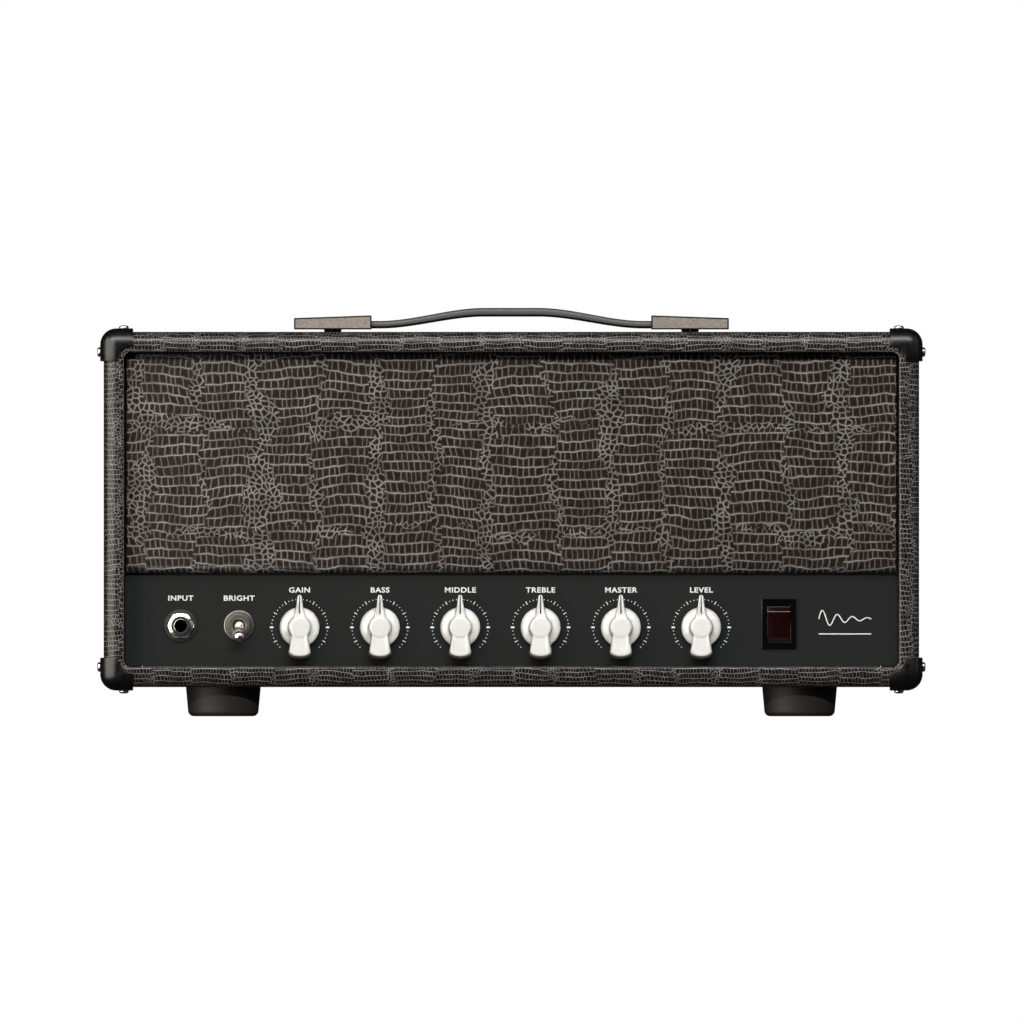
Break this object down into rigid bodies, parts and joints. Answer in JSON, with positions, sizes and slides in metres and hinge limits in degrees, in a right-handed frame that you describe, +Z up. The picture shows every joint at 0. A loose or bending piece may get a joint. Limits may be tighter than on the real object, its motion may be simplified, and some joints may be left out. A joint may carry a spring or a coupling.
{
  "type": "guitar amplifier head",
  "caption": "Valve guitar amplifier head: box cabinet in crocodile-grain vinyl with metal corners, strap handle, rubber feet, pointer-knob control panel, jacks and switches.",
  "frame": {"origin": "on the floor under the middle of the cabinet, centre of the bounding box's underside", "axes": "+X to the right seen from the front, +Y to the back, +Z up; the control panel faces -Y"},
  "size_m": [0.4266, 0.2036, 0.2103],
  "materials": {
    "plywood": "satin",
    "covering": "semi-gloss embossed vinyl",
    "panel_covering": "semi-gloss embossed vinyl",
    "black_metal": "gloss",
    "panel_metal": "satin",
    "rubber": "matt",
    "black_board": "matt",
    "screw_steel": "polished",
    "cap_metal": "worn, mottled",
    "strap": "satin",
    "steel": "zinc plated",
    "ivory": "glossy",
    "black_plastic": "glossy",
    "washer_plastic": "matt",
    "red_plastic": "glossy",
    "board_green": "solder mask",
    "component_film": "glossy",
    "standoff_brass": "turned",
    "core_steel": "varnished laminations",
    "winding": "enamelled copper",
    "capacitor_can": "sleeved",
    "ceramic": "glazed",
    "clear_glass": "clear",
    "anode_grey": "matt carbonised"
  },
  "bodies": {
    "root": {"top_board": "plywood", "bottom_board": "plywood", "side_boards": "plywood", "front_panel_board": "plywood", "panel_battens": "plywood", "vinyl_covering": "covering", "front_panel_vinyl": "panel_covering", "corner_protectors": "black_metal", "vent_grille": "black_metal", "power_transformer_covers": "black_metal", "control_panel": "panel_metal", "rear_panel": "panel_metal", "rubber_feet": "rubber", "back_panel": "black_board", "corner_screws": "screw_steel", "foot_screws": "screw_steel", "back_panel_screws": "screw_steel", "handle_bolts": "screw_steel", "chassis_bolts": "screw_steel", "transformer_bolts": "screw_steel", "jack_nuts": "screw_steel", "potentiometer_nuts": "screw_steel", "bright_switch_nut": "screw_steel", "handle_end_caps": "cap_metal", "chassis": "steel", "bright_switch_body": "steel", "potentiometers": "steel", "power_switch_housing": "black_plastic", "jack_sockets": "black_plastic", "mains_inlet": "black_plastic", "jack_washers": "washer_plastic", "circuit_board": "board_green", "board_components": "component_film", "board_standoffs": "standoff_brass", "power_transformer_core": "core_steel", "output_transformer_core": "core_steel", "power_transformer_coil": "winding", "output_transformer_coil": "winding", "filter_capacitors": "capacitor_can", "valve_sockets": "ceramic", "valve_glass": "clear_glass", "valve_bases": "clear_glass", "valve_anodes": "anode_grey"},
    "bright_lever": {"bright_switch_lever": "screw_steel"},
    "power_rocker": {"power_switch_rocker": "red_plastic"},
    "fuse_holder": {"fuse_drawer": "washer_plastic"},
    "strap": {"handle_strap": "strap", "handle_spring_strip": "steel"},
    "gain_control": {"gain_knob": "ivory", "gain_shaft": "steel"},
    "bass_control": {"bass_knob": "ivory", "bass_shaft": "steel"},
    "middle_control": {"middle_knob": "ivory", "middle_shaft": "steel"},
    "treble_control": {"treble_knob": "ivory", "treble_shaft": "steel"},
    "master_control": {"master_knob": "ivory", "master_shaft": "steel"},
    "level_control": {"level_knob": "ivory", "level_shaft": "steel"}
  },
  "joints": [
    {"name": "gain_turn", "type": "hinge", "parent": "root", "child": "gain_control", "pos_m": [-0.1091, -0.08, 0.0458], "axis": [0, 1, 0], "range_deg": [-135, 135]},
    {"name": "bass_turn", "type": "hinge", "parent": "root", "child": "bass_control", "pos_m": [-0.06773, -0.08, 0.0458], "axis": [0, 1, 0], "range_deg": [-135, 135]},
    {"name": "middle_turn", "type": "hinge", "parent": "root", "child": "middle_control", "pos_m": [-0.02636, -0.08, 0.0458], "axis": [0, 1, 0], "range_deg": [-135, 135]},
    {"name": "treble_turn", "type": "hinge", "parent": "root", "child": "treble_control", "pos_m": [0.01501, -0.08, 0.0458], "axis": [0, 1, 0], "range_deg": [-135, 135]},
    {"name": "master_turn", "type": "hinge", "parent": "root", "child": "master_control", "pos_m": [0.05638, -0.08, 0.0458], "axis": [0, 1, 0], "range_deg": [-135, 135]},
    {"name": "level_turn", "type": "hinge", "parent": "root", "child": "level_control", "pos_m": [0.09775, -0.08, 0.0458], "axis": [0, 1, 0], "range_deg": [-135, 135]},
    {"name": "bright_flip", "type": "hinge", "parent": "root", "child": "bright_lever", "pos_m": [-0.1403, -0.079, 0.0467], "axis": [-1, 0, 0], "range_deg": [0, 38]},
    {"name": "power_rock", "type": "hinge", "parent": "root", "child": "power_rocker", "pos_m": [0.1377, -0.08, 0.0477], "axis": [-1, 0, 0], "range_deg": [0, 20]},
    {"name": "fuse_slide", "type": "slide", "parent": "root", "child": "fuse_holder", "axis": [0, 1, 0], "range_m": [0, 0.018]},
    {"name": "strap_lift", "type": "slide", "parent": "root", "child": "strap", "axis": [0, 0, 1], "range_m": [0, 0.001]}
  ]
}
